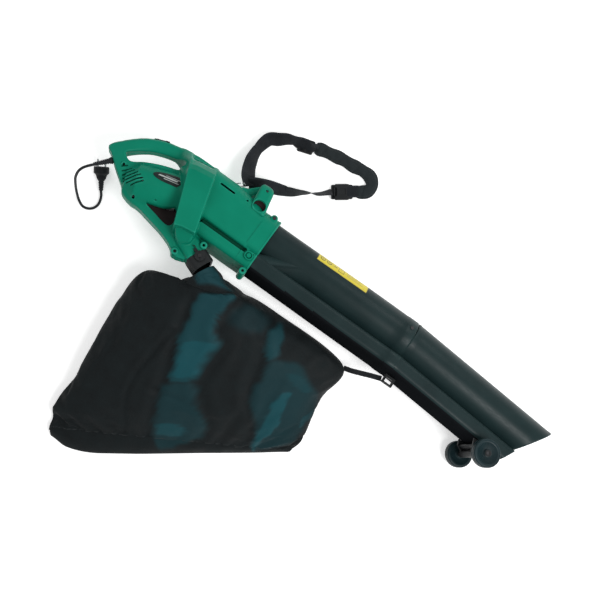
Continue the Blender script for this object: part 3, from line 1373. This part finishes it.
def make_buckle():
    step = 0.7
    low = (-30, -24, -1)
    x, y, z = grid(low, (30, 24, 14), step)
    shell = thick(round_box(x, y, 19, -20, 20, 5, 5), np.abs(z - 6), 5.8, 2.6)
    shell = cut(shell, thick(round_box(np.abs(x) - 19, y, 6, -11, 11, 3, 3), -z, -4.0, 1.0), 1.5)
    shell = cut(shell, thick(round_box(x, y, 9, -8, 8, 2, 2), 10.6 - z, 0.0, 0.6), 0.8)
    for s in (-1, 1):
        wing = thick(round_box(x - s * 22, y, 5, -18, 18, 3, 3), np.abs(z - 6), 3.8, 1.4)
        wing = cut(wing, thick(round_box(x - s * 22.5, y, 2.0, -14, 14, 1.5, 1.5), 5.0 - z, 0.0, 0.6), 0.8)
        shell = melt(shell, wing, 1.5)
        prong = thick(round_box(x, y - s * 15.5, 13, -2.6, 2.6, 2, 2), np.abs(z - 7), 4.4, 1.2)
        shell = melt(shell, prong, 1.2)
    buckle = solid("strap_buckle_moulding", shell, low, step, flat_place(72, 210, 36), "black_plastic")
    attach(buckle, "machine")
    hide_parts("strap_buckle")


# ---------- collection bag ----------

# Each row across the bag, in plan: left end, right end, underside and top.
BAG = [[[-90, -170], [-67, -124], 106, 172], [[-122, -206], [4, -140], 58, 166],
       [[-206, -244], [116, -140], 0, 138], [[-216, -328], [318, -144], 0, 122],
       [[-208, -430], [322, -242], 0, 104], [[-201, -540], [337, -312], 0, 82],
       [[-202, -636], [348, -356], 0, 56], [[-180, -702], [344, -396], 0, 26]]
# Panels that catch a teal sheen: share, softness of the edge, outline in plan.
LIT = [[0.55, 9, [[-90, -148], [-73, -107], [-34, -114], [8, -124], [9, -137], [-35, -160], [-84, -180]]],
       [0.62, 9, [[-60, -211], [-23, -177], [12, -142], [14, -190], [11, -244], [41, -261], [46, -276],
                  [48, -325], [51, -374], [-2, -415], [-24, -347], [-43, -283]]],
       [0.95, 14, [[-22, -298], [41, -261], [46, -276], [48, -325], [45, -369], [-2, -403], [-20, -349]]],
       [0.34, 12, [[-2, -415], [51, -374], [84, -415], [122, -437], [144, -478], [126, -522], [95, -564],
                   [69, -587], [43, -556], [16, -501], [1, -456]]],
       [0.72, 9, [[31, -520], [60, -493], [102, -486], [107, -510], [78, -538], [48, -554]]],
       [0.55, 8, [[129, -137], [166, -175], [176, -216], [156, -242], [123, -182]]],
       [0.34, 12, [[156, -242], [176, -216], [230, -201], [282, -224], [314, -239], [325, -292], [332, -344],
                   [317, -399], [268, -449], [235, -394], [196, -359], [174, -314], [172, -273]]],
       [0.85, 8, [[243, -261], [259, -296], [271, -343], [267, -396], [275, -444], [267, -450], [237, -392],
                  [230, -335], [228, -281]]],
       [0.7, 8, [[325, -255], [329, -289], [323, -331], [312, -333], [307, -292]]],
       [0.5, 9, [[205, -231], [248, -218], [288, -232], [272, -251], [233, -255]]],
       [0.2, 18, [[33, -159], [66, -141], [109, -145], [121, -178], [77, -215], [32, -217]]]]
# Folds: depth, width, and the line they run along.
VALLEYS = [[7.0, 6, [[-61, -308], [-69, -384], [-75, -437], [-68, -492], [-48, -534], [-19, -588]]],
           [9.0, 11, [[-96, -192], [-39, -173], [18, -141]]],
           [8.0, 13, [[34, -147], [24, -240], [54, -262], [60, -330], [64, -380], [100, -412], [134, -437]]],
           [6.0, 12, [[-72, -214], [-54, -283], [-36, -347], [-14, -415], [6, -501], [38, -574]]],
           [7.0, 12, [[118, -138], [108, -174], [144, -242], [162, -314], [186, -359], [223, -400],
                      [256, -456]]],
           [4.0, 9, [[-176, -330], [-160, -420], [-168, -520]]],
           [3.5, 8, [[214, -262], [216, -330], [226, -392]]],
           [3.5, 8, [[-20, -452], [60, -430], [118, -452]]]]


def line_distance(points, u, v):
    return np.min([segment_distance(u, v, a, b) for a, b in zip(points, points[1:])], axis=0)


def bag_light(u, v):
    """Share of teal light on the cloth, by place in plan."""
    u = u + 4 * np.sin(v * 0.055) + 2 * np.sin(v * 0.17 + u * 0.05)
    v = v + 3 * np.sin(u * 0.07 + 1)
    total = np.zeros(u.shape)
    for level, soft, outline in LIT:
        d = polygon_distance(smooth_outline(outline, 1), u, v)
        total = np.maximum(total, level * np.clip(0.5 - d / soft, 0, 1) ** 1.2)
    return total


def bag_relief(u, v, light):
    """Height of the folds: long valleys with a raised lip, over soft swells."""
    h = 5.0 * light
    for depth, wide, points in VALLEYS:
        d = line_distance(points, u, v)
        h = h - depth * np.exp(-(d / wide) ** 2) + 0.35 * depth * np.exp(-((d - 1.9 * wide) / wide) ** 2)
    h = h + 1.6 * np.sin(u * 0.041 + v * 0.013) * np.sin(v * 0.029 - 0.6)
    return h + 0.8 * np.sin(u * 0.11 - v * 0.05) * np.sin(v * 0.075 + u * 0.02)


def bag_shape():
    """Rings of the filled bag, and the share of teal light on each point."""
    stations = np.array([[*a, *b, c, d] for a, b, c, d in BAG], float)
    rows = catmull(stations, 22)
    rows[:, 4] = np.maximum(rows[:, 4], 0.6)
    n = 216
    t = np.arange(n) / n * 2 * math.pi
    w, h = np.cos(t), np.sin(t)
    e = np.sign(w) * np.abs(w) ** 0.8
    top = np.clip(h * 1.6, 0, 1)
    rings, lit = [], []
    for i, row in enumerate(rows):
        a, b, low, high = row[:2], row[2:4], row[4], row[5]
        v = i / (len(rows) - 1)
        c, half = (a + b) / 2, (b - a) / 2
        f = np.where(h < 0, np.maximum(-1, 1.5 * h), np.abs(h) ** 0.8)
        z = low + (high - low) * (0.4 + np.where(h < 0, 0.4, 0.6) * f)
        px, py = c[0] + half[0] * e, c[1] + half[1] * e
        light = bag_light(px, py)
        limit = min(1.0, np.linalg.norm(b - a) / 200) * (1 - 0.45 * v)
        z = z + (bag_relief(px, py, light) - 5) * top * limit
        z = z + 0.5 * math.sin(v * 60) * np.abs(w) ** 6
        rings.append(np.stack([px, py, z], 1))
        lit.append(light * top)
    return rings, np.concatenate(lit)


CLOTH = dict(quality=6, mass=0.25, tension_stiffness=18, compression_stiffness=6, shear_stiffness=4,
             bending_stiffness=0.35, use_pressure=True, uniform_pressure_force=3.0, shrink_min=-0.035,
             vertex_group_mass="pin")
CLOTH_FRAMES = 14
MOST_MOVE = 0.011


def settle(obj):
    """A short cloth run with inner pressure gives the filled cloth its puckers; moves are capped."""
    mesh = obj.data
    rest = np.zeros(len(mesh.vertices) * 3, np.float32)
    mesh.vertices.foreach_get("co", rest)
    rest = rest.reshape(-1, 3)
    cloth = obj.modifiers.new("Cloth", "CLOTH")
    for key, value in CLOTH.items():
        setattr(cloth.settings, key, value)
    cloth.settings.effector_weights.gravity = 0
    cloth.collision_settings.use_collision = False
    scene = bpy.context.scene
    scene.frame_start, scene.frame_end = 1, CLOTH_FRAMES
    cloth.point_cache.frame_start, cloth.point_cache.frame_end = 1, CLOTH_FRAMES
    for f in range(1, CLOTH_FRAMES + 1):
        scene.frame_set(f)
    dg = bpy.context.evaluated_depsgraph_get()
    moved = obj.evaluated_get(dg).to_mesh()
    now = np.zeros(len(mesh.vertices) * 3, np.float32)
    moved.vertices.foreach_get("co", now)
    now = now.reshape(-1, 3)
    obj.modifiers.remove(cloth)
    scene.frame_set(1)
    step = np.nan_to_num(now - rest)
    size = np.linalg.norm(step, axis=1, keepdims=True)
    step *= np.minimum(1, MOST_MOVE / np.maximum(size, 1e-9))
    new = rest + step
    new[:, 2] = np.maximum(new[:, 2], np.minimum(rest[:, 2], 0.0008))
    mesh.vertices.foreach_set("co", new.ravel())
    mesh.update()


def make_bag():
    rings, lit = bag_shape()
    verts, faces = bridge(rings)
    bag = mesh_object("collection_bag_cloth", on_floor(verts), faces, "bag_cloth")
    outward(bag)
    set_attribute(bag, "crest", lit)
    n, m = len(rings[0]), len(rings)
    ring_no = np.repeat(np.arange(m), n)
    spot = np.tile(np.arange(n), m)
    side = np.minimum(spot % (n // 2), (n // 2) - spot % (n // 2))
    seam = ((side == 2) & (ring_no % 3 > 0) & (ring_no > m // 6)) | ((ring_no == m - 4) & (spot % 3 > 0))
    set_attribute(bag, "stitch", seam * 0.55)
    group = bag.vertex_groups.new(name="pin")
    co = np.array([v.co for v in bag.data.vertices])
    hold = (ring_no < 6) | (ring_no > m - 4) | (co[:, 2] < 0.003)
    group.add([int(k) for k in np.flatnonzero(hold)], 1.0, "REPLACE")
    settle(bag)
    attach(bag, "machine")
    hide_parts("collection_bag")


def make_hem():
    """The thin flap beyond the bag's far seam."""
    a, b = np.array(BAG[-1][0], float), np.array(BAG[-1][1], float)
    along = unit(b - a)
    out = np.array([along[1], -along[0]])
    share = np.linspace(0.006, 0.994, 90)
    reach = np.interp(share, [0, 0.04, 0.1, 0.18, 0.38, 0.63, 0.85, 1], [4, 34, 46, 51, 42, 26, 13, 2])
    reach = np.convolve(np.pad(reach, 3, mode="edge"), np.ones(7) / 7, mode="valid")
    w = np.abs(2 * share - 1) ** 1.25
    high = 26 * (0.4 + 0.6 * np.sqrt(1 - w ** 2) ** 0.8) + 1.0
    rings, lit = [], []
    for s, r, h in zip(share, reach, high):
        u = np.linspace(0, 1, 12)
        base = a + (b - a) * s
        p = base[None] + np.outer(-13 + (r + 13) * u, out)
        z = h * (1 - u ** 2.2) + 3.0 * u + 0.9 * np.sin(s * 60 + 3 * u) * u * (1 - u) * 4
        z[0] -= 3
        up = np.column_stack([p, z])
        down = up - [0, 0, 1.6]
        rings.append(np.vstack([up, down[::-1]]))
        glow = bag_light(p[:, 0], p[:, 1])
        lit.append(np.concatenate([glow, 0 * glow]))
    verts, faces = bridge(rings)
    flap = mesh_object("collection_bag_hem", on_floor(verts), faces, "bag_cloth")
    outward(flap)
    set_attribute(flap, "crest", np.concatenate(lit))
    set_attribute(flap, "stitch", np.zeros(len(verts)))
    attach(flap, "machine")


# ---------- carried-over CAD pieces ----------

KEPT = {
    "black_oxide": ["housing_screws", "collar_bolts", "front_handle_screws", "tube_screws", "axle",
                    "axle_clips", "latch_pin"],
    "green_inside": ["fan_backplate"],
    "steel": ["motor_can", "motor_shaft", "front_bearing", "rear_bearing", "impeller_nut", "plug_pins",
              "selector_shaft", "strap_lug", "strap_ring"],
    "laminations": ["field_pack", "armature"],
    "zinc": ["front_bracket", "rear_bracket", "zip_slider"],
    "copper": ["brush_holders", "commutator"],
    "carbon": ["carbon_brushes"],
    "black_plastic": ["cooling_fan", "impeller", "rocker_switch_body", "rocker_switch", "cord_clamp",
                      "diverter_flap", "wheel_bracket", "wheel_caps", "bag_collar", "bag_latch",
                      "strap_hook"],
    "capacitor_white": ["capacitor"],
    "wire_blue": ["inner_wiring"],
    "green_abs": ["selector_knob"],
    "webbing": ["bag_zip"],
}


def dress_nodes():
    """CAD pieces that stay as they are get their material."""
    for key, names in KEPT.items():
        for name in names:
            materials = NODES[name].data.materials
            slots = max(1, len(materials))
            materials.clear()
            for _ in range(slots):
                materials.append(MATS[key])


make_housing()
make_front_handle()
make_tubes()
make_label()
make_badge()
make_wheels()
make_webbing()
make_pad()
make_slider()
make_buckle()
make_bag()
make_hem()
dress_nodes()
